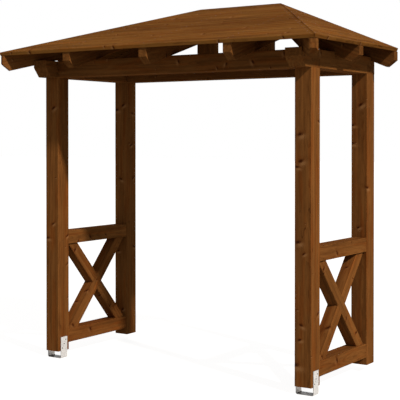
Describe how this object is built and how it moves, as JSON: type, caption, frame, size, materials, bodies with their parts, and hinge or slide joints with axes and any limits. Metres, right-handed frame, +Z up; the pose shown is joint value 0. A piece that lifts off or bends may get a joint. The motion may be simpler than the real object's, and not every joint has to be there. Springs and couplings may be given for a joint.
{
  "type": "door canopy",
  "caption": "Timber door canopy: hip roof on braced side frames with post shoes, fixed to a house wall at its back.",
  "frame": {"origin": "centre of the rear beam's back face, in the plane of the house wall", "axes": "+X to the right seen from the front, +Y into the wall, +Z up"},
  "size_m": [2.584, 1.261, 2.6447],
  "materials": {
    "post_wood": "brown glaze",
    "beam_wood": "brown glaze",
    "rafter_wood": "brown glaze",
    "roof_wood": "brown glaze",
    "galvanised": "galvanised"
  },
  "bodies": {
    "root": {"post_front_left": "post_wood", "post_front_right": "post_wood", "post_rear_left": "post_wood", "post_rear_right": "post_wood", "beam_front": "beam_wood", "beam_rear": "beam_wood", "beam_left": "beam_wood", "beam_right": "beam_wood", "top_rail_left": "post_wood", "top_rail_right": "post_wood", "low_rail_left": "post_wood", "low_rail_right": "post_wood", "brace_rising_left": "post_wood", "brace_falling_left": "post_wood", "brace_rising_right": "post_wood", "brace_falling_right": "post_wood", "ridge_post_left": "beam_wood", "ridge_post_right": "beam_wood", "ridge_beam": "beam_wood", "hip_rafter_left": "rafter_wood", "hip_rafter_right": "rafter_wood", "wall_rafter_left": "rafter_wood", "wall_rafter_right": "rafter_wood", "rafter_middle": "rafter_wood", "rafter_left": "rafter_wood", "rafter_right": "rafter_wood", "side_rafter_left": "rafter_wood", "side_rafter_right": "rafter_wood", "roof_front": "roof_wood", "roof_left": "roof_wood", "roof_right": "roof_wood", "post_shoe_left": "galvanised", "post_shoe_right": "galvanised"}
  },
  "joints": []
}
